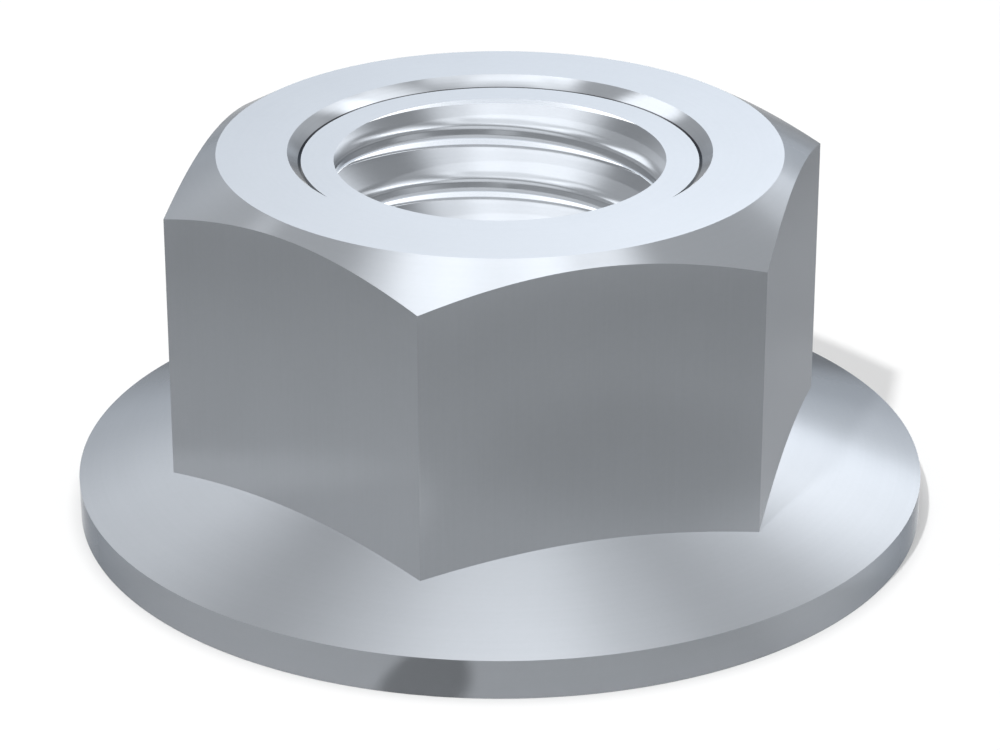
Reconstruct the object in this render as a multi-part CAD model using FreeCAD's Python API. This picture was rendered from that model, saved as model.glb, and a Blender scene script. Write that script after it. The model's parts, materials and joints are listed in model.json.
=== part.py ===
import FreeCAD, Part
import math
import os

# Serrated flange nut, metric M10: one piece of steel with a hexagon, a fixed conical flange,
# a tapped bore and a ring of locking teeth in its bearing face.
# Lengths are in millimetres and angles in degrees. The origin is the middle of the bearing
# face, +Z runs up the thread's axis, and two corners of the hexagon lie on the Y axis.

# Hexagon
ACROSS_FLATS = 15.0
NUT_HEIGHT = 9.64
TOP_FACE_INSET = 0.75  # how much less the round top face measures than the flats
CHAMFER_FALL = 30.0  # slope of the corner chamfer below the top face

# Flange
FLANGE_DIAMETER = 21.8
RIM_HEIGHT = 1.01  # upright wall round the flange's edge
FLANGE_SLOPE = 20.0  # rise of the cone from the rim towards the hexagon

# Thread
THREAD_DIAMETER = 10.0
THREAD_PITCH = 1.5
THREAD_ANGLE = 60.0
CREST_SHARE = 0.25  # of the pitch, the flat left at the minor diameter
ROOT_SHARE = 0.125  # of the pitch, the flat at the bottom of the groove

# Mouth of the bore in the top face
MOUTH_DEPTH = 0.255  # from the top face down to the flat land round the thread
MOUTH_ANGLE = 90.0  # across the countersink
RELIEF_WIDTH = 0.085  # hairline groove between the land and the countersink
RELIEF_DEPTH = 0.12

# Countersink of the bore in the bearing face
SEAT_OVERSIZE = 0.8  # how much wider than the thread it opens
SEAT_ANGLE = 120.0

# Locking teeth: they let the nut turn clockwise and bite when it turns back
TOOTH_COUNT = 36
TOOTH_DEPTH = 0.4  # of the valley, at the outer end of the tooth
TOOTH_CREST_WIDTH = 0.2  # flat that meets the joint, at the outer end
BITE_ANGLE = 65.0  # of the steep face, up from the bearing face
RUNOUT_ANGLE = 45.0  # of the valley's end walls, up from the bearing face
INNER_LAND = 0.9  # smooth ring between the countersink and the teeth
OUTER_LAND = 1.1  # smooth ring between the teeth and the rim

# How far a cutting shape reaches past the face that it cuts
OVERCUT = 0.5
TOOTH_OVERCUT = 0.02  # less, so that neighbouring cutters stay apart

NUT_NODE = "flange_nut"


def tan(degrees):
    """Tangent of an angle in degrees."""
    return math.tan(math.radians(degrees))


def polar(radius, degrees, height):
    """Point at a radius and an angle round the Z axis."""
    angle = math.radians(degrees)
    return FreeCAD.Vector(radius * math.cos(angle), radius * math.sin(angle), height)


def turned(outline):
    """Solid of revolution about Z from its half section, a list of (radius, height)."""
    points = [FreeCAD.Vector(radius, 0, height) for radius, height in outline]
    section = Part.Face(Part.makePolygon(points + points[:1]))
    return section.revolve(FreeCAD.Vector(0, 0, 0), FreeCAD.Vector(0, 0, 1), 360)


def polyhedron(points, faces):
    """Solid with flat faces, each given by the numbers of its points."""
    rings = [[points[number] for number in face] for face in faces]
    shell = Part.makeShell([Part.Face(Part.makePolygon(ring + ring[:1])) for ring in rings])
    solid = Part.makeSolid(shell)
    if solid.Volume < 0:
        solid.reverse()
    return solid


def thread_depth():
    """Radial depth of the thread's groove, from the crest's flat to the root's flat."""
    flank_height = THREAD_PITCH * (1 - CREST_SHARE - ROOT_SHARE) / 2
    return flank_height / tan(THREAD_ANGLE / 2)


def hexagon():
    """Hexagonal prism whose corners are turned down by a cone at the top face."""
    corner_radius = ACROSS_FLATS / 2 / math.cos(math.radians(30))
    corners = [polar(corner_radius, 90 + 60 * number, RIM_HEIGHT) for number in range(6)]
    outline = Part.Face(Part.makePolygon(corners + corners[:1]))
    prism = outline.extrude(FreeCAD.Vector(0, 0, NUT_HEIGHT - RIM_HEIGHT))

    top_radius = (ACROSS_FLATS - TOP_FACE_INSET) / 2
    envelope_radius = corner_radius + OVERCUT
    chamfer_foot = NUT_HEIGHT - (envelope_radius - top_radius) * tan(CHAMFER_FALL)
    envelope = turned([
        (0, 0),
        (envelope_radius, 0),
        (envelope_radius, chamfer_foot),
        (top_radius, NUT_HEIGHT),
        (0, NUT_HEIGHT),
    ])
    return prism.common(envelope)


def flange():
    """Round flange with an upright rim and a cone that rises to the axis inside the hexagon."""
    rim_radius = FLANGE_DIAMETER / 2
    return turned([
        (0, 0),
        (rim_radius, 0),
        (rim_radius, RIM_HEIGHT),
        (0, RIM_HEIGHT + rim_radius * tan(FLANGE_SLOPE)),
    ])


def bore():
    """All that is turned away inside: seat countersink, tapping bore, land, relief and mouth."""
    major_radius = THREAD_DIAMETER / 2
    minor_radius = major_radius - thread_depth()

    seat_radius = major_radius + SEAT_OVERSIZE / 2
    seat_depth = (seat_radius - minor_radius) / tan(SEAT_ANGLE / 2)

    land_height = NUT_HEIGHT - MOUTH_DEPTH
    mouth_foot = major_radius + RELIEF_WIDTH
    mouth_top = mouth_foot + (MOUTH_DEPTH + OVERCUT) * tan(MOUTH_ANGLE / 2)
    return turned([
        (0, -OVERCUT),
        (seat_radius + OVERCUT * tan(SEAT_ANGLE / 2), -OVERCUT),
        (minor_radius, seat_depth),
        (minor_radius, land_height),
        (major_radius, land_height),
        (major_radius, land_height - RELIEF_DEPTH),
        (mouth_foot, land_height),
        (mouth_top, NUT_HEIGHT + OVERCUT),
        (0, NUT_HEIGHT + OVERCUT),
    ])


def tooth_band():
    """Ring that bounds the valleys between the inner and the outer land, with sloping walls."""
    inner_radius = (THREAD_DIAMETER + SEAT_OVERSIZE) / 2 + INNER_LAND
    outer_radius = FLANGE_DIAMETER / 2 - OUTER_LAND
    top = TOOTH_DEPTH + OVERCUT
    below = OVERCUT / tan(RUNOUT_ANGLE)
    above = top / tan(RUNOUT_ANGLE)
    return turned([
        (inner_radius - below, -OVERCUT),
        (outer_radius + below, -OVERCUT),
        (outer_radius - above, top),
        (inner_radius + above, top),
    ])


def valley_wedge():
    """One valley between two teeth: a wedge with its point on the axis, so that both of its
    faces are flat and the teeth taper towards the bore as the cone of a dog clutch does."""
    outer_radius = FLANGE_DIAMETER / 2 - OUTER_LAND
    half_crest = math.degrees(TOOTH_CREST_WIDTH / 2 / outer_radius)
    bite_width = math.degrees(TOOTH_DEPTH / tan(BITE_ANGLE) / outer_radius)
    reach = 1 + OVERCUT / outer_radius

    bite = polar(outer_radius, half_crest, 0) * reach
    valley = polar(outer_radius, half_crest + bite_width, TOOTH_DEPTH) * reach
    ramp = polar(outer_radius, 360 / TOOTH_COUNT - half_crest, 0) * reach
    below = TOOTH_OVERCUT / (TOOTH_DEPTH * reach)
    points = [
        FreeCAD.Vector(0, 0, 0),
        bite + (bite - valley) * below,
        ramp + (ramp - valley) * below,
        valley,
    ]
    return polyhedron(points, [(0, 1, 3), (0, 3, 2), (0, 2, 1), (1, 2, 3)])


def tooth_valleys():
    """Every valley of the locking teeth, each bounded by the band of the teeth."""
    first = valley_wedge().common(tooth_band())
    valleys = []
    for number in range(TOOTH_COUNT):
        valley = first.copy()
        angle = 360 / TOOTH_COUNT * number
        valley.rotate(FreeCAD.Vector(0, 0, 0), FreeCAD.Vector(0, 0, 1), angle)
        valleys.append(valley)
    return valleys


def flange_nut():
    """The finished nut as one solid."""
    blank = hexagon().fuse(flange()).removeSplitter()
    turned_blank = blank.cut(bore())
    return turned_blank.cut(tooth_valleys()).Solids[0]


def main():
    """Builds the nut and writes its STEP file."""
    os.makedirs("parts", exist_ok=True)
    flange_nut().exportStep(f"parts/{NUT_NODE}.step")


main()
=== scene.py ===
"""Looks of the serrated flange nut, metric M10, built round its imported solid.

One piece stands for the nut. It repeats the solid's form with finer facets, and the thread is
cut into its bore, which the solid leaves plain. Modelling is in millimetres; the finished piece
is brought to metres before it is dressed.
"""

import sys
import json
import logging
import math
from dataclasses import dataclass
from enum import Enum

import bpy
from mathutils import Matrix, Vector


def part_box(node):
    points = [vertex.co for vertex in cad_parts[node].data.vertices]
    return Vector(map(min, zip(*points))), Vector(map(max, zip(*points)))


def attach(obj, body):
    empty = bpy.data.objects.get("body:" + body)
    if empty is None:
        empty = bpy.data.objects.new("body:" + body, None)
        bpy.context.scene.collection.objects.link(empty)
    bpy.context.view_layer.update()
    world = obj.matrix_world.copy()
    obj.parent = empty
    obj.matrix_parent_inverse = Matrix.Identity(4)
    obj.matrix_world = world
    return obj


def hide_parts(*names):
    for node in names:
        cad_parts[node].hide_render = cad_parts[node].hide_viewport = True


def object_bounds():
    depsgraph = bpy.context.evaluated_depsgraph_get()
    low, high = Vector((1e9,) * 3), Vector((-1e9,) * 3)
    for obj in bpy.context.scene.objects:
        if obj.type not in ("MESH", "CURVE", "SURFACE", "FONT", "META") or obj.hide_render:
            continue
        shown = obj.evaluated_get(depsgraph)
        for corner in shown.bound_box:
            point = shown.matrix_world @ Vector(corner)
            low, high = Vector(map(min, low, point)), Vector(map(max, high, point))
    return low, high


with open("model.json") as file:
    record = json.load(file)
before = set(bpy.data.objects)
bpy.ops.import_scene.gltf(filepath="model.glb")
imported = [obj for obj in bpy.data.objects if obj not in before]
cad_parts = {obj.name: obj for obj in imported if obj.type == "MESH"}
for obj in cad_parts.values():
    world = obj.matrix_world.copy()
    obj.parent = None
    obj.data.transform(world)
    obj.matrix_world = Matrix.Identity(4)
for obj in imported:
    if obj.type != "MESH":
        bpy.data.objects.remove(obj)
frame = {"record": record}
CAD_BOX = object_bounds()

log = logging.getLogger("flange_nut")

MILLIMETRE = 0.001
NUT_NODE = "flange_nut"
NUT_BODY = "root"
CAMERA_AZIMUTH = 12.745  # degrees round from -Y towards +X

Outline = list[tuple[float, float]]
Arcs = tuple[tuple[float, float], ...]
Number = int | float


class Operation(Enum):
    """How one solid acts on another."""

    CUT = "DIFFERENCE"
    JOIN = "UNION"
    KEEP = "INTERSECT"


def tan(degrees: float) -> float:
    """Tangent of an angle in degrees."""
    return math.tan(math.radians(degrees))


def on_circle(radius: float, degrees: float, height: float = 0.0) -> Vector:
    """Point at a radius and an angle round the Z axis."""
    angle = math.radians(degrees)
    return Vector((radius * math.cos(angle), radius * math.sin(angle), height))


class Bench:
    """Modelling steps that all the forms of the nut share."""

    @staticmethod
    def clear() -> None:
        """Leaves edit mode and deselects everything."""
        if bpy.context.object and bpy.context.object.mode != "OBJECT":
            bpy.ops.object.mode_set(mode="OBJECT")
        bpy.ops.object.select_all(action="DESELECT")

    @staticmethod
    def pick(piece: bpy.types.Object) -> None:
        """Selects one object alone and makes it active."""
        Bench.clear()
        piece.select_set(True)
        bpy.context.view_layer.objects.active = piece

    @staticmethod
    def edit(piece: bpy.types.Object, kind: str = "FACE") -> None:
        """Opens an object in edit mode with all of it selected.

        Args:
            piece: The object to open.
            kind: Select mode, one of VERT, EDGE and FACE.
        """
        Bench.pick(piece)
        bpy.ops.object.mode_set(mode="EDIT")
        bpy.ops.mesh.select_mode(type=kind)
        bpy.ops.mesh.select_all(action="SELECT")

    @staticmethod
    def close() -> None:
        """Turns every face of the open mesh outwards and leaves edit mode."""
        bpy.ops.mesh.select_all(action="SELECT")
        bpy.ops.mesh.normals_make_consistent(inside=False)
        bpy.ops.object.mode_set(mode="OBJECT")

    @staticmethod
    def turned(outline: Outline, segments: int) -> bpy.types.Object:
        """Turns a closed solid about Z, drawn up ring by ring from a disc.

        Args:
            outline: Half section as (radius, height), from one end disc to the other.
            segments: Facets round the axis.

        Returns:
            The solid, with its place in its mesh.
        """
        radius, height = outline[0]
        Bench.clear()
        bpy.ops.mesh.primitive_circle_add(vertices=segments, radius=radius, fill_type="NGON")
        piece = bpy.context.object
        Bench.edit(piece)
        bpy.ops.transform.translate(value=(0, 0, height))
        for next_radius, next_height in outline[1:]:
            rise = (0, 0, next_height - height)
            bpy.ops.mesh.extrude_region_move(TRANSFORM_OT_translate={"value": rise})
            share = next_radius / radius
            bpy.ops.transform.resize(value=(share, share, 1), center_override=(0, 0, 0))
            radius, height = next_radius, next_height
        Bench.close()
        return piece

    @staticmethod
    def combine(piece: bpy.types.Object, tool: bpy.types.Object, operation: Operation) -> None:
        """Cuts, joins or trims a solid with another, which is used up.

        Args:
            piece: The solid that stays.
            tool: The solid that acts on it.
            operation: What is done.
        """
        modifier = piece.modifiers.new("combine", "BOOLEAN")
        modifier.operation = operation.value
        modifier.solver = "EXACT"
        modifier.object = tool
        Bench.pick(piece)
        bpy.ops.object.modifier_apply(modifier=modifier.name)
        bpy.data.objects.remove(tool)


@dataclass
class Hexagon:
    """Hexagonal prism with two corners on the Y axis, turned down by a cone at its top."""

    across_flats: float
    height: float
    foot: float
    top_inset: float = 0.75
    chamfer_fall: float = 30.0
    overcut: float = 0.5
    segments: int = 360

    def build(self) -> bpy.types.Object:
        """Builds the prism and trims it with the chamfer's cone."""
        corner = self.across_flats / 2 / math.cos(math.radians(30))
        depth = self.height + self.overcut - self.foot
        Bench.clear()
        bpy.ops.mesh.primitive_cylinder_add(vertices=6, radius=corner, depth=depth)
        prism = bpy.context.object
        Bench.edit(prism)
        bpy.ops.transform.translate(value=(0, 0, self.foot + depth / 2))
        Bench.close()

        top = (self.across_flats - self.top_inset) / 2
        reach = corner + self.overcut
        outline = [
            (reach, -self.overcut),
            (reach, self.height - (reach - top) * tan(self.chamfer_fall)),
            (top, self.height),
        ]
        Bench.combine(prism, Bench.turned(outline, self.segments), Operation.KEEP)
        return prism


@dataclass
class Flange:
    """Round flange with an upright rim and a cone that rises into the hexagon."""

    radius: float
    rim_height: float = 1.01
    slope: float = 20.0
    inner_radius: float = 6.0
    segments: int = 360

    def build(self) -> bpy.types.Object:
        """Builds the flange, up to a radius that lies inside the hexagon."""
        rise = (self.radius - self.inner_radius) * tan(self.slope)
        outline = [
            (self.radius, 0),
            (self.radius, self.rim_height),
            (self.inner_radius, self.rim_height + rise),
        ]
        return Bench.turned(outline, self.segments)


@dataclass
class Mouth:
    """Opening in the top face: a countersink, a hairline groove and a flat land."""

    height: float
    land_height: float
    land_radius: float
    groove_width: float = 0.085
    groove_depth: float = 0.12
    angle: float = 90.0
    overcut: float = 0.5
    segments: int = 360

    def build(self) -> bpy.types.Object:
        """Builds the solid that is turned away."""
        foot = self.land_radius + self.groove_width
        climb = self.height + self.overcut - self.land_height
        outline = [
            (self.land_radius, self.land_height),
            (self.land_radius, self.land_height - self.groove_depth),
            (foot, self.land_height),
            (foot + climb * tan(self.angle / 2), self.height + self.overcut),
        ]
        return Bench.turned(outline, self.segments)


@dataclass
class Seat:
    """Countersink of the bore in the bearing face."""

    minor_radius: float
    major_radius: float
    oversize: float = 0.8
    angle: float = 120.0
    overcut: float = 0.5
    tip_radius: float = 3.5
    segments: int = 360

    @property
    def radius(self) -> float:
        """Radius at which it opens in the bearing face."""
        return self.major_radius + self.oversize / 2

    def build(self) -> bpy.types.Object:
        """Builds the solid that is turned away, with its tip inside the bore."""
        slope = tan(self.angle / 2)
        outline = [
            (self.radius + self.overcut * slope, -self.overcut),
            (self.tip_radius, (self.radius - self.tip_radius) / slope),
        ]
        return Bench.turned(outline, self.segments)


@dataclass
class Thread:
    """Right-hand metric thread, made as the gauge that would fill the bore.

    Its crests are rounded, more widely on their upper side, as the photograph's highlights show.
    """

    minor_radius: float
    land_height: float
    pitch: float = 1.5
    half_angle: float = 30.0
    crest_share: float = 0.25
    crest_round: float = 0.18
    lead_round: float = 0.7
    lead_angle: float = 42.0
    root_round: float = 0.05
    crest_height: float = 0.528  # of the middle of a crest on +X, give or take a pitch
    support: float = 0.02  # from a bend to the point behind it, which keeps the shading flat there
    weld: float = 0.002
    slice_tolerance: float = 0.0002
    lip: float = 0.01  # by which the cone that closes the grooves lies inside the crests at the land
    reach: float = 6.5  # outer radius of that cone
    core: float = 3.9  # its inner radius
    foot: float = -1.25  # about where the gauge starts
    turns: int = 8
    segments: int = 180
    arc_steps: int = 5

    @property
    def root_radius(self) -> float:
        """Radius of the groove's bottom, where its two flanks would meet at the round root."""
        crest = self.pitch * self.crest_share / 2
        root = self.root_round * tan((90 - self.half_angle) / 2)
        return self.minor_radius + (self.pitch / 2 - crest - root) / tan(self.half_angle)

    def bend(self, radius: float, start: float, arcs: Arcs, side: int) -> Outline:
        """Arcs from the axis's direction into a flank, and a point close behind them.

        Args:
            radius: Radius of the first point.
            start: Height of the first point.
            arcs: Each arc's own radius and the angle at which it ends.
            side: 1 where the flank leads outwards, -1 where it leads inwards.

        Returns:
            Points as (radius, height).
        """
        points = [(radius, start)]
        last = 0.0
        for rounding, end in arcs:
            first_radius, first_height = points[-1]
            for step in range(1, self.arc_steps + 1):
                angle = math.radians(last + (end - last) * step / self.arc_steps)
                bulge = rounding * (math.cos(math.radians(last)) - math.cos(angle))
                rise = rounding * (math.sin(angle) - math.sin(math.radians(last)))
                points.append((first_radius + side * bulge, first_height + rise))
            last = end
        end_radius, end_height = points[-1]
        flank = math.radians(self.half_angle)
        behind = side * self.support * math.cos(flank)
        points.append((end_radius + behind, end_height + self.support * math.sin(flank)))
        return points

    def half(self, arcs: Arcs) -> Outline:
        """Outline from the middle of a crest to the middle of the groove beside it."""
        end_radius, end_height = self.bend(0.0, 0.0, arcs, 1)[-1]
        edge = self.pitch * self.crest_share / 2
        start = edge - end_height + end_radius * tan(self.half_angle)
        crest = self.bend(self.minor_radius, start, arcs, 1)
        root = self.bend(self.root_radius, 0.0, ((self.root_round, 90 - self.half_angle),), -1)
        points = [(self.minor_radius, 0.0), (self.minor_radius, start - self.support), *crest]
        return points + [(radius, self.pitch / 2 - height) for radius, height in reversed(root)]

    def section(self) -> Outline:
        """Outline of one pitch, from the middle of a crest to the middle of the next."""
        above = self.half(((self.crest_round, self.lead_angle), (self.lead_round, 90 - self.half_angle)))
        below = self.half(((self.crest_round, 90 - self.half_angle),))
        return above + [(radius, self.pitch - height) for radius, height in reversed(below[:-1])]

    def rod(self) -> bpy.types.Object:
        """Screws the section up through the bore and closes both of its ends."""
        section = self.section()
        Bench.clear()
        bpy.ops.mesh.primitive_plane_add(size=1)
        rod = bpy.context.object
        Bench.edit(rod, "VERT")
        bpy.ops.mesh.merge(type="CENTER")
        radius, height = section[0]
        low = self.foot - (self.foot - self.crest_height) % self.pitch
        bpy.ops.transform.translate(value=(radius, 0, low))
        for next_radius, next_height in section[1:]:
            step = (next_radius - radius, 0, next_height - height)
            bpy.ops.mesh.extrude_vertices_move(TRANSFORM_OT_translate={"value": step})
            radius, height = next_radius, next_height
        bpy.ops.object.mode_set(mode="OBJECT")

        screw = rod.modifiers.new("screw", "SCREW")
        screw.angle = math.tau
        screw.screw_offset = self.pitch
        screw.iterations = self.turns
        screw.steps = self.segments
        screw.render_steps = self.segments
        bpy.ops.object.modifier_apply(modifier=screw.name)

        Bench.edit(rod, "VERT")
        bpy.ops.mesh.remove_doubles(threshold=self.weld)
        top = low + self.pitch * self.turns
        for height, lower in ((low + self.pitch, True), (top, False)):
            bpy.ops.mesh.select_all(action="SELECT")
            bpy.ops.mesh.bisect(
                plane_co=(0, 0, height),
                plane_no=(0, 0, 1),
                use_fill=True,
                clear_inner=lower,
                clear_outer=not lower,
                threshold=self.slice_tolerance,
            )
        Bench.close()
        return rod

    def build(self) -> bpy.types.Object:
        """Builds the gauge, whose grooves close under the land as a tap's last cut does."""
        rod = self.rod()
        inner = self.minor_radius - self.lip
        slope = tan(90 - self.half_angle)
        outline = [
            (self.reach, 2 * self.foot),
            (self.reach, self.land_height - (self.reach - inner) / slope),
            (self.core, self.land_height + (inner - self.core) / slope),
            (self.core, 2 * self.land_height),
        ]
        Bench.combine(rod, Bench.turned(outline, self.segments), Operation.KEEP)
        return rod


@dataclass
class Serration:
    """Ring of locking teeth in the bearing face, made as the valleys between them."""

    inner_radius: float
    outer_radius: float
    count: int = 36
    depth: float = 0.4
    crest_width: float = 0.2
    bite_angle: float = 65.0
    runout: float = 45.0
    overcut: float = 0.5
    valley_overcut: float = 0.02
    segments: int = 360

    def wedge(self) -> bpy.types.Object:
        """Builds one valley as a wedge that points at the axis."""
        half_crest = math.degrees(self.crest_width / 2 / self.outer_radius)
        bite = math.degrees(self.depth / tan(self.bite_angle) / self.outer_radius)
        reach = 1 + self.overcut / self.outer_radius
        corners = [
            on_circle(self.outer_radius, half_crest) * reach,
            on_circle(self.outer_radius, 360 / self.count - half_crest) * reach,
            on_circle(self.outer_radius, half_crest + bite, self.depth) * reach,
        ]
        share = self.valley_overcut / (self.depth * reach)
        for number in range(2):
            corners[number] += (corners[number] - corners[2]) * share

        Bench.clear()
        bpy.ops.mesh.primitive_circle_add(vertices=3, fill_type="NGON")
        wedge = bpy.context.object
        for vertex, corner in zip(wedge.data.vertices, corners):
            vertex.co = corner
        Bench.edit(wedge)
        bpy.ops.mesh.extrude_region_move(TRANSFORM_OT_translate={"value": (0, 0, 0)})
        shrink = self.inner_radius / self.outer_radius / 2
        bpy.ops.transform.resize(value=(shrink,) * 3, center_override=(0, 0, 0))
        bpy.ops.mesh.select_all(action="SELECT")
        bpy.ops.mesh.spin(
            steps=self.count - 1,
            dupli=True,
            angle=math.tau * (self.count - 1) / self.count,
            center=(0, 0, 0),
            axis=(0, 0, 1),
        )
        Bench.close()
        return wedge

    def build(self) -> bpy.types.Object:
        """Builds all valleys, bounded by sloping walls towards the smooth lands."""
        valleys = self.wedge()
        top = self.depth + self.overcut
        below = self.overcut / tan(self.runout)
        above = top / tan(self.runout)
        outer = [(self.outer_radius + below, -self.overcut), (self.outer_radius - above, top)]
        inner = [
            (self.inner_radius - 2 * below, -2 * self.overcut),
            (self.inner_radius + 2 * above, 2 * top),
        ]
        Bench.combine(valleys, Bench.turned(outer, self.segments), Operation.KEEP)
        Bench.combine(valleys, Bench.turned(inner, self.segments), Operation.CUT)
        return valleys


@dataclass
class FlangeNut:
    """The whole nut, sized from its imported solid."""

    height: float
    flange_radius: float
    across_flats: float
    minor_radius: float
    major_radius: float = 5.0
    mouth_depth: float = 0.255
    inner_land: float = 0.9
    outer_land: float = 1.1
    smooth_angle: float = 25.0
    tolerance: float = 0.0005

    @classmethod
    def from_frame(cls) -> "FlangeNut":
        """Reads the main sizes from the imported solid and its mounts."""
        _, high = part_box(NUT_NODE)
        mounts = {mount["name"]: mount for mount in frame["record"]["mounts"]}
        return cls(
            height=high.z / MILLIMETRE,
            flange_radius=high.x / MILLIMETRE,
            across_flats=2 * mounts["wrench_flat_plus_x"]["pos_m"][0] / MILLIMETRE,
            minor_radius=mounts["thread"]["dims"]["r_mm"],
        )

    def build(self) -> bpy.types.Object:
        """Forges, turns, coins and taps the nut."""
        land_height = self.height - self.mouth_depth
        flange = Flange(self.flange_radius)
        seat = Seat(self.minor_radius, self.major_radius)
        teeth = Serration(seat.radius + self.inner_land, self.flange_radius - self.outer_land)

        nut = Hexagon(self.across_flats, self.height, flange.rim_height / 2).build()
        Bench.combine(nut, flange.build(), Operation.JOIN)
        for tool in (
            Mouth(self.height, land_height, self.major_radius),
            seat,
            teeth,
            Thread(self.minor_radius, land_height),
        ):
            Bench.combine(nut, tool.build(), Operation.CUT)
            log.info("%s cut: %d faces", type(tool).__name__, len(nut.data.polygons))
        self.finish(nut)
        return nut

    def finish(self, nut: bpy.types.Object) -> None:
        """Cleans the nut's mesh, brings it to metres, names it and smooths its round faces."""
        Bench.edit(nut, "VERT")
        bpy.ops.mesh.remove_doubles(threshold=self.tolerance)
        bpy.ops.mesh.dissolve_degenerate(threshold=self.tolerance)
        Bench.close()
        nut.scale = (MILLIMETRE,) * 3
        Bench.pick(nut)
        bpy.ops.object.transform_apply(location=False, rotation=False, scale=True)
        nut.name = "flange_nut_steel"
        nut.data.name = nut.name
        Bench.pick(nut)
        bpy.ops.object.shade_smooth_by_angle(angle=math.radians(self.smooth_angle))
        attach(nut, NUT_BODY)
        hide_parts(NUT_NODE)


class Value:
    """Number that a node gives, with the operators that the finishes and lamps use."""

    def __init__(self, tree: "Tree", socket: bpy.types.NodeSocket) -> None:
        self.tree = tree
        self.socket = socket

    def _with(self, operation: str, *others: "Value | Number") -> "Value":
        """Adds a Math node on this value and others, in the order given."""
        inputs = dict(enumerate((self, *others)))
        return self.tree.value("ShaderNodeMath", {"operation": operation}, inputs)

    def __add__(self, other: "Value | Number") -> "Value":
        """Sum."""
        return self._with("ADD", other)

    __radd__ = __add__

    def __sub__(self, other: "Value | Number") -> "Value":
        """Difference."""
        return self._with("SUBTRACT", other)

    def __rsub__(self, other: Number) -> "Value":
        """Difference from a number."""
        return self.tree.value("ShaderNodeMath", {"operation": "SUBTRACT"}, {0: other, 1: self})

    def __mul__(self, other: "Value | Number") -> "Value":
        """Product."""
        return self._with("MULTIPLY", other)

    def __truediv__(self, other: "Value | Number") -> "Value":
        """Quotient."""
        return self._with("DIVIDE", other)

    def __abs__(self) -> "Value":
        """Value without its sign."""
        return self._with("ABSOLUTE")

    def at_least(self, floor: float) -> "Value":
        """Value, or a number where it would be less."""
        return self._with("MAXIMUM", floor)

    def band(self, low: float, high: float, edge: float) -> "Value":
        """1 between two numbers, with edges of a given width just inside them."""
        return self.ramp(low, low + edge) * (1 - self.ramp(high - edge, high))

    def ramp(self, start: float, end: float) -> "Value":
        """Smooth step from 0 at start to 1 at end."""
        return self.tree.value(
            "ShaderNodeMapRange",
            {"interpolation_type": "SMOOTHSTEP"},
            {"Value": self, "From Min": start, "From Max": end},
        )


class Tree:
    """Node tree of a material, a world or a lamp while it is written."""

    def __init__(self, owner: bpy.types.ID) -> None:
        owner.use_nodes = True
        self.nodes = owner.node_tree.nodes
        self.links = owner.node_tree.links
        self.nodes.clear()

    def node(
        self,
        kind: str,
        settings: dict[str, object] | None = None,
        inputs: dict[str | int, object] | None = None,
    ) -> bpy.types.Node:
        """Adds one node.

        Args:
            kind: The node's type.
            settings: Its own properties, which are set first.
            inputs: What goes to its sockets, as values, links or plain settings.

        Returns:
            The node.
        """
        node = self.nodes.new(kind)
        for name, setting in (settings or {}).items():
            setattr(node, name, setting)
        for name, source in (inputs or {}).items():
            socket = source.socket if isinstance(source, Value) else source
            if isinstance(socket, bpy.types.NodeSocket):
                self.links.new(socket, node.inputs[name])
            else:
                node.inputs[name].default_value = socket
        return node

    def value(
        self,
        kind: str,
        settings: dict[str, object] | None = None,
        inputs: dict[str | int, object] | None = None,
        output: str | int = 0,
    ) -> Value:
        """Adds one node, as node does, and wraps one of its outputs."""
        return Value(self, self.node(kind, settings, inputs).outputs[output])

    def rays(self) -> tuple[Value, Value, Value]:
        """Whether what is shaded is seen by the camera, in a mirror or through glass."""
        path = self.node("ShaderNodeLightPath")
        kinds = ("Is Camera Ray", "Is Glossy Ray", "Is Transmission Ray")
        camera, glossy, transmission = (Value(self, path.outputs[kind]) for kind in kinds)
        return camera, glossy, transmission


@dataclass(frozen=True)
class Marks:
    """Fine marks in the steel, which change over a given length along each of three measures."""

    lengths: tuple[float, float, float]
    height: float
    tone: float

    def pattern(self, tree: Tree, *measures: Value) -> Value:
        """Works out the marks.

        Args:
            tree: The steel's shader.
            measures: What they follow, in millimetres, up to three of them.

        Returns:
            Their level, between about -0.5 and 0.5.
        """
        steps = {number: measure / self.lengths[number] for number, measure in enumerate(measures)}
        place = tree.value("ShaderNodeCombineXYZ", None, steps)
        noise = {"Vector": place, "Scale": 1.0, "Detail": 1.0}
        return tree.value("ShaderNodeTexNoise", {"noise_dimensions": "3D"}, noise) - 0.5


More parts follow.
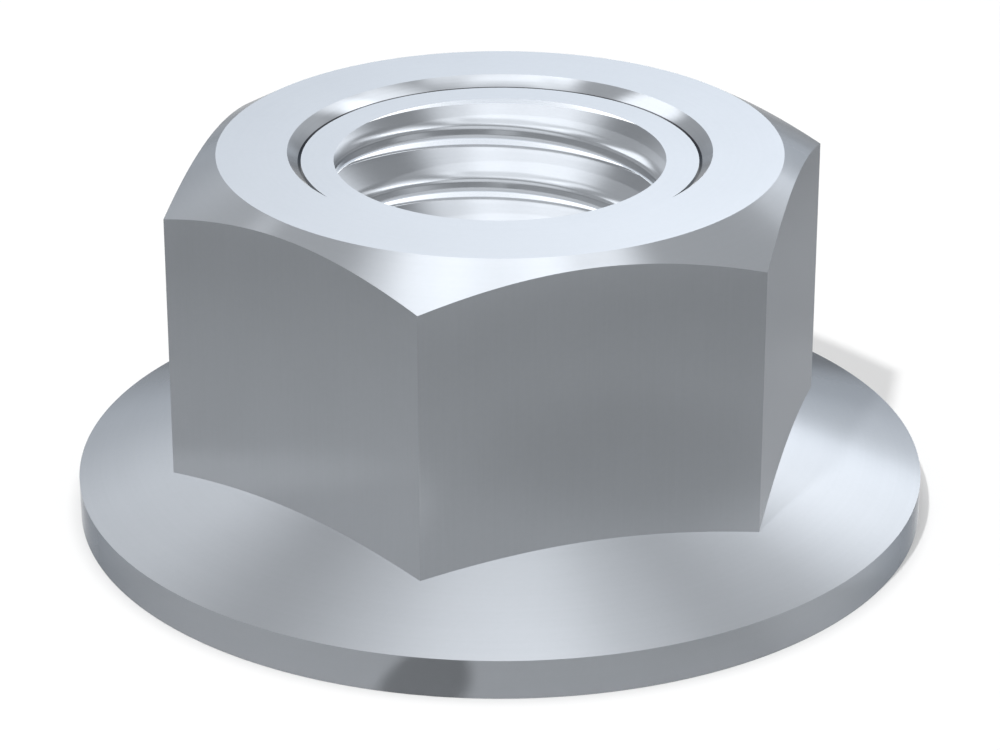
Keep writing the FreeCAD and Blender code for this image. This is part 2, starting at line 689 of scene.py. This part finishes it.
@dataclass(frozen=True)
class Steel:
    """Bright plated steel, which mirrors as much at a glancing view as straight on.

    It is turned on its round faces, drawn along its flats and tapped in its bore, and its colour is
    darkened as painted shade in the hairline groove. Lengths are in millimetres.
    """

    colour: tuple[float, float, float] = (0.281, 0.298, 0.321)
    # dark colour for the painted shade in the hairline groove, and for a small share of the random tone
    shade_and_tone_colour: tuple[float, float, float] = (0.05, 0.053, 0.058)
    dark_share: float = 0.05
    edge_tint: tuple[float, float, float] = (0.402, 0.42, 0.444)
    metallic: float = 0.65
    roughness: float = 0.12
    roughness_of_marks: float = 0.3
    bore_roughness: float = 0.03
    turned: Marks = Marks((0.09, 0.09, 1.0), 0.0003, 0.05)
    drawn: Marks = Marks((0.07, 0.07, 2.5), 0.00025, 0.05)
    grain: Marks = Marks((0.12, 0.12, 0.12), 0.0001, 0.04)
    clouds: Marks = Marks((2.5, 2.5, 2.5), 0.0, 0.05)
    flat_tilt: float = 0.02
    flat_foot: float = 1.2
    flat_inner_radius: float = 7.4
    flat_edge: float = 0.1
    bore_radius: float = 4.99
    bore_top: float = 9.38
    bore_edge: float = 0.02
    groove_radii: tuple[float, float] = (5.001, 5.084)
    groove_radius_edge: float = 0.004
    groove_heights: tuple[float, float] = (9.25, 9.3845)
    groove_height_edge: float = 0.01

    def on_flats(self, steepness: Value, height: Value, radius: Value) -> Value:
        """1 on the hexagon's six upright flats."""
        upright = 1 - steepness.ramp(self.flat_tilt, 2 * self.flat_tilt)
        above_rim = height.ramp(self.flat_foot, self.flat_foot + self.flat_edge)
        outside = radius.ramp(self.flat_inner_radius - self.flat_edge, self.flat_inner_radius)
        return upright * above_rim * outside

    def in_bore(self, height: Value, radius: Value) -> Value:
        """1 on the thread, below the land."""
        below_land = 1 - height.ramp(self.bore_top - self.bore_edge, self.bore_top)
        return (1 - radius.ramp(self.bore_radius - self.bore_edge, self.bore_radius)) * below_land

    def groove_shade(self, height: Value, radius: Value) -> Value:
        """1 in the hairline groove round the land, where the colour is darkened as painted shade."""
        across = radius.band(*self.groove_radii, self.groove_radius_edge)
        return across * height.band(*self.groove_heights, self.groove_height_edge)

    def material(self) -> bpy.types.Material:
        """Makes the material."""
        material = bpy.data.materials.new("plated_steel")
        tree = Tree(material)
        coordinates = tree.node("ShaderNodeTexCoord").outputs
        scale = {0: coordinates["Object"], "Scale": 1 / MILLIMETRE}
        place = tree.value("ShaderNodeVectorMath", {"operation": "SCALE"}, scale)
        sides = tree.node("ShaderNodeSeparateXYZ", None, {0: place}).outputs
        across, deep, height = (Value(tree, sides[axis]) for axis in "XYZ")
        level = tree.value("ShaderNodeVectorMath", {"operation": "MULTIPLY"}, {0: place, 1: (1, 1, 0)})
        radius = tree.value("ShaderNodeVectorMath", {"operation": "LENGTH"}, {0: level}, "Value")
        facing = tree.node("ShaderNodeSeparateXYZ", None, {0: coordinates["Normal"]}).outputs
        on_flats = self.on_flats(abs(Value(tree, facing["Z"])), height, radius)
        groove_shade = self.groove_shade(height, radius)

        marks = (
            (self.turned, self.turned.pattern(tree, radius, height) * (1 - on_flats)),
            (self.drawn, self.drawn.pattern(tree, across, deep, height) * on_flats),
            (self.grain, self.grain.pattern(tree, across, deep, height)),
            (self.clouds, self.clouds.pattern(tree, across, deep, height)),
        )
        bumps = sum(pattern * kind.height for kind, pattern in marks)
        tones = sum(pattern * kind.tone for kind, pattern in marks)
        tapped = self.in_bore(height, radius) * self.bore_roughness

        # Painted shade: the hairline groove is mixed fully to the dark colour; elsewhere the marks vary
        # the tone.
        colour = tree.node("ShaderNodeMix", {"data_type": "RGBA"}, {
            "Factor": (tones + self.dark_share) * (1 - groove_shade) + groove_shade,
            "A": (*self.colour, 1),
            "B": (*self.shade_and_tone_colour, 1),
        })
        bump = tree.node("ShaderNodeBump", None, {
            "Strength": 1.0,
            "Distance": MILLIMETRE,
            "Height": bumps,
        })
        surface = tree.node("ShaderNodeBsdfPrincipled", None, {
            "Base Color": colour.outputs["Result"],
            "Metallic": self.metallic,
            "Roughness": tones * self.roughness_of_marks + self.roughness + tapped,
            "Specular IOR Level": 0.0,
            "Specular Tint": (*self.edge_tint, 1),
            "Normal": bump.outputs[0],
        })
        tree.node("ShaderNodeOutputMaterial", None, {"Surface": surface.outputs["BSDF"]})
        return material


def from_nut(azimuth: float, elevation: float) -> Vector:
    """Direction out from the nut, as the photograph shows it.

    Args:
        azimuth: Degrees round from straight behind the nut, positive to the right.
        elevation: Degrees above the floor.

    Returns:
        Unit vector.
    """
    level = math.cos(math.radians(elevation))
    turn = on_circle(level, 90 + CAMERA_AZIMUTH - azimuth)
    return turn + Vector((0, 0, math.sin(math.radians(elevation))))


@dataclass(frozen=True)
class Softbox:
    """Soft-edged lamp that only shows where the nut mirrors it.

    Its width and height are the degrees that it covers as the nut sees it. Its glow is the
    light that it adds there, with 1 for the white round it, and its softness is the share of
    its sides over which the glow rises from each edge. A halved box is dark below its middle,
    which leaves it a sharp lower edge.
    """

    name: str
    azimuth: float
    elevation: float
    width: float
    height: float
    glow: float
    softness: float
    halved: bool = False
    cut_width: float = 0.02
    distance: float = 0.8

    def build(self) -> bpy.types.Object:
        """Hangs the lamp and lets its glow fall to nothing at its edges."""
        lamp = hang_lamp(self)
        lamp.visible_diffuse = False
        tree = Tree(lamp.data)
        across = tree.node("ShaderNodeNewGeometry").outputs["Parametric"]
        sides = tree.node("ShaderNodeSeparateXYZ", None, {0: across})
        glow = 1.0
        for axis in ("X", "Y"):
            inward = 0.5 - abs(Value(tree, sides.outputs[axis]) - 0.5)
            glow = inward.ramp(0, self.softness) * glow
        if self.halved:
            upper = Value(tree, sides.outputs["Y"])
            glow = upper.ramp(0.5 - self.cut_width / 2, 0.5 + self.cut_width / 2) * glow
        emission = tree.node("ShaderNodeEmission", None, {"Strength": glow})
        tree.node("ShaderNodeOutputLight", None, {"Surface": emission.outputs[0]})
        return lamp


LAMPS = (
    Softbox("overhead_box", 173.5, 86, 50, 75, 2.2, 0.36),
    Softbox("back_box", 14, 28, 50, 44.5, 4.6, 0.44),
    Softbox("back_left_box", -16.5, 33.5, 45, 46, 1.8, 0.4),
    Softbox("right_strip", 85, 38, 86.5, 13.7, 3.2, 0.39),
    Softbox("right_box", 103, 41, 64, 38.5, 2.85, 0.34),
    Softbox("left_box", -73, 37, 49, 25, 3.7, 0.27),
    Softbox("upper_right_box", 80.5, 69.5, 53, 15, 2.5, 0.5),
    Softbox("upper_left_box", -100, 66.5, 34, 18.3, 2.7, 0.39),
    Softbox("upper_back_box", 12.7, 75.7, 32.4, 22.3, 0.6, 0.31),
    Softbox("upper_back_left_box", -46.6, 69.3, 11, 16.6, 1.7, 0.41),
    Softbox("middle_back_box", 25, 44, 21.6, 34, 1.9, 0.5),
    Softbox("low_back_box", 16, 6, 28, 20, 1.42, 0.39),
    Softbox("low_back_left_box", -8.7, 12.5, 46.6, 31.2, 1.6, 0.45),
    Softbox("front_left_box", -134, 63, 28, 30, 2.35, 0.41),
    Softbox("front_box", 180, 14, 110, 60, 1.7, 0.3),
    Softbox("mouth_box", 180, 67, 36, 10, 1.4, 0.4),
    Softbox("thread_box", 30, 78, 24, 24, 1.0, 0.45),
    Softbox("thread_left_box", -42, 78, 20, 20, 1.2, 0.45),
    Softbox("front_right_box", 126, 64, 22, 22, 0.8, 0.4),
    Softbox("low_right_box", 46, 21, 42, 30, 0.5, 0.45),
    Softbox("flange_box", 32, 37, 24, 34, 0.32, 0.5),
    Softbox("flange_edge_box", 26, 18.5, 36, 40, 0.55, 0.5, True),
)


@dataclass(frozen=True)
class KeyLamp:
    """Small lamp that gives the shadow, and isn't mirrored."""

    name: str = "key_lamp"
    azimuth: float = -151.0
    elevation: float = 57.5
    width: float = 2.2
    height: float = 2.2
    glow: float = 1720.0
    distance: float = 0.8

    def build(self) -> bpy.types.Object:
        """Hangs the lamp."""
        lamp = hang_lamp(self)
        lamp.visible_glossy = False
        return lamp


def hang_lamp(plan: "Softbox | KeyLamp") -> bpy.types.Object:
    """Adds the area lamp that a plan describes, facing the nut and hidden from the camera."""
    toward = from_nut(plan.azimuth, plan.elevation)
    Bench.clear()
    bpy.ops.object.light_add(
        type="AREA",
        location=toward * plan.distance,
        rotation=toward.to_track_quat("Z", "Y").to_euler(),
    )
    lamp = bpy.context.object
    lamp.name = plan.name
    lamp.data.shape = "RECTANGLE"
    lamp.data.size = 2 * plan.distance * tan(plan.width / 2)
    lamp.data.size_y = 2 * plan.distance * tan(plan.height / 2)
    lamp.data.energy = plan.glow * math.pi * lamp.data.size * lamp.data.size_y
    lamp.visible_camera = False
    log.info("%s: glow %.2f", plan.name, plan.glow)
    return lamp


@dataclass(frozen=True)
class Pool:
    """Painted reflection: a soft oval, brighter or darker, that only the nut's mirror sees on the floor,
    in millimetres.

    Its middle is given to the right and away from the nut, as the photograph shows it.
    """

    name: str
    right: float
    away: float
    half_width: float
    half_length: float
    amount: float
    core: float = 0.3

    def glow(self, tree: Tree, place: bpy.types.NodeSocket) -> Value:
        """Works out what the pool adds.

        Args:
            tree: The floor's shader.
            place: Where on the floor.

        Returns:
            Its amount in the core, which fades to nothing at the edge.
        """
        middle = (self.right * MILLIMETRE, self.away * MILLIMETRE, 0)
        size = (self.half_width * MILLIMETRE, self.half_length * MILLIMETRE, 1)
        offset = tree.value("ShaderNodeVectorMath", {"operation": "SUBTRACT"}, {0: place, 1: middle})
        share = tree.value("ShaderNodeVectorMath", {"operation": "DIVIDE"}, {0: offset, 1: size})
        reach = tree.value("ShaderNodeVectorMath", {"operation": "LENGTH"}, {0: share}, "Value")
        return (1 - reach.ramp(self.core, 1)) * self.amount


# Painted reflection: bright and dark ovals that the floor shows only in the nut's mirror
POOLS = (
    Pool("pool_under_nut", -0.4, 0, 9.1, 9.6, 1.2, 0.75),
    Pool("pool_behind", 0, 16, 11, 12, 4.2, 0.5),
    Pool("pool_in_front", -0.9, -17, 4.8, 4.5, 1.12, 0.4),
    Pool("pool_far_in_front", 0, -75, 90, 54, 1.7, 0.6),
    Pool("pool_right", 16, 16, 8, 18, 0.4, 0.2),
    Pool("pool_right_front", 18.5, -5.5, 7.5, 7.5, 1.1, 0.3),
    Pool("pool_by_right_rim", 11.7, -5.2, 2.2, 5, 0.6, 0.3),
    Pool("pool_by_left_rim", -11.8, -1, 2.1, 9.5, 0.26, 0.4),
    Pool("dark_spot", -1.95, -11.6, 1.45, 2.25, -0.8, 0.6),
    Pool("shade_in_front", 8.4, -14.2, 5.8, 5.6, -0.2, 0.3),
    Pool("pool_round_right_rim", 10, -4.5, 5, 7, 0.32, 0.5),
    Pool("pool_beside_right_face", 9.5, 5, 5, 8, 0.27, 0.3),
)


@dataclass
class Studio:
    """Pale floor, white surroundings and the lamps, in metres.

    What the nut mirrors of the floor is a painted reflection, a glow that only mirror rays see. It is
    brightest at the middle, falls outwards to its least level and rises again over two rings, each given
    as its start, its end and its rise.
    """

    floor_radius: float = 3.0
    floor_drop: float = 0.00001
    floor_colour: float = 0.8
    floor_glow: float = 0.41
    mirrored_middle: float = 1.31
    mirrored_fall: float = 30.0
    mirrored_least: float = 0.5
    mirrored_rings: tuple[tuple[float, float, float], ...] = ((0.026, 0.045, 0.45), (0.075, 0.12, 0.5))
    ambient: float = 0.652
    # painted contact shade: how much and how far the camera's white is dimmed round the rim
    contact_shade: float = 0.4
    contact_width: float = 0.00045
    contact_lap: float = 0.00015

    def world(self) -> None:
        """Makes the surroundings white where they show, and a plain dimmer light elsewhere."""
        world = bpy.data.worlds.new("surroundings")
        bpy.context.scene.world = world
        tree = Tree(world)
        camera, glossy, transmission = tree.rays()
        seen = camera + glossy + transmission
        sky = tree.node("ShaderNodeBackground", None, {
            "Color": (1, 1, 1, 1),
            "Strength": seen * (1 - self.ambient) + self.ambient,
        })
        tree.node("ShaderNodeOutputWorld", None, {"Surface": sky.outputs[0]})

    def mirrored(self, tree: Tree, place: bpy.types.NodeSocket, away: Value) -> Value:
        """Works out the painted reflection, the floor's glow as only the nut's mirror sees it.

        Args:
            tree: The floor's shader.
            place: Where on the floor.
            away: Its distance from the thread's axis.

        Returns:
            The brightness, with 1 for white.
        """
        brightness = (self.mirrored_middle - away * self.mirrored_fall).at_least(self.mirrored_least)
        for start, end, rise in self.mirrored_rings:
            brightness = brightness + away.ramp(start, end) * rise
        for pool in POOLS:
            brightness = brightness + pool.glow(tree, place)
            log.info("%s: %+.2f", pool.name, pool.amount)
        return brightness

    def floor(self) -> None:
        """Lays the floor, which keeps the shadow, with painted contact shade round the rim and a painted
        reflection in the nut's mirror.
        """
        Bench.clear()
        bpy.ops.mesh.primitive_circle_add(
            vertices=64,
            radius=self.floor_radius,
            fill_type="NGON",
            location=(0, 0, -self.floor_drop),
            rotation=(0, 0, math.radians(CAMERA_AZIMUTH)),
        )
        floor = bpy.context.object
        floor.name = "floor"
        material = bpy.data.materials.new("pale_floor")
        tree = Tree(material)
        camera, glossy, transmission = tree.rays()
        place = tree.node("ShaderNodeTexCoord").outputs["Object"]
        away = tree.value("ShaderNodeVectorMath", {"operation": "LENGTH"}, {0: place}, "Value")
        mirrored = self.mirrored(tree, place, away)
        lit = tree.node("ShaderNodeBsdfDiffuse", None, {"Color": (*(self.floor_colour,) * 3, 1)})
        # Painted contact shade: the floor's white is dimmed for the camera in a thin ring round the rim.
        rim = CAD_BOX[1][0]
        near_rim = 1 - away.ramp(rim - self.contact_lap, rim + self.contact_width)
        contact = near_rim * self.contact_shade
        # Mirror rays see the painted reflection; the camera sees white with the painted contact shade.
        brightness = glossy * (mirrored - 1) + 1 - camera * contact
        white = tree.node("ShaderNodeEmission", None, {"Strength": brightness})
        mix = tree.node("ShaderNodeMixShader", None, {
            0: (camera + transmission) * self.floor_glow + glossy,
            1: lit.outputs[0],
            2: white.outputs[0],
        })
        tree.node("ShaderNodeOutputMaterial", None, {"Surface": mix.outputs[0]})
        floor.data.materials.append(material)

    def build(self) -> None:
        """Sets up the whole studio."""
        self.world()
        self.floor()
        KeyLamp().build()
        for lamp in LAMPS:
            lamp.build()


@dataclass
class Camera:
    """Camera at the photograph's viewpoint, in millimetres and degrees."""

    azimuth: float = CAMERA_AZIMUTH
    elevation: float = 24.757
    distance: float = 96.84
    aim_height: float = 3.36
    lens: float = 135.17
    sensor: float = 36.0

    def build(self) -> None:
        """Places the camera and makes it the scene's own."""
        level = math.cos(math.radians(self.elevation))
        back = Vector((
            level * math.sin(math.radians(self.azimuth)),
            -level * math.cos(math.radians(self.azimuth)),
            math.sin(math.radians(self.elevation)),
        ))
        aim = Vector((0, 0, self.aim_height))
        Bench.clear()
        bpy.ops.object.camera_add(
            location=(aim + back * self.distance) * MILLIMETRE,
            rotation=back.to_track_quat("Z", "Y").to_euler(),
        )
        camera = bpy.context.object
        camera.name = "camera"
        camera.data.lens = self.lens
        camera.data.sensor_width = self.sensor
        camera.data.clip_start = MILLIMETRE
        bpy.context.scene.camera = camera


def main() -> None:
    """Builds the nut and the studio round it."""
    logging.basicConfig(level=logging.INFO, format="%(name)s: %(message)s", stream=sys.stdout)
    nut = FlangeNut.from_frame().build()
    nut.data.materials.clear()
    nut.data.materials.append(Steel().material())
    nut.visible_glossy = False
    log.info("%s: %d faces", nut.name, len(nut.data.polygons))
    Studio().build()
    Camera().build()
    bpy.context.scene.view_settings.view_transform = "Standard"


if __name__ == "__main__":
    main()
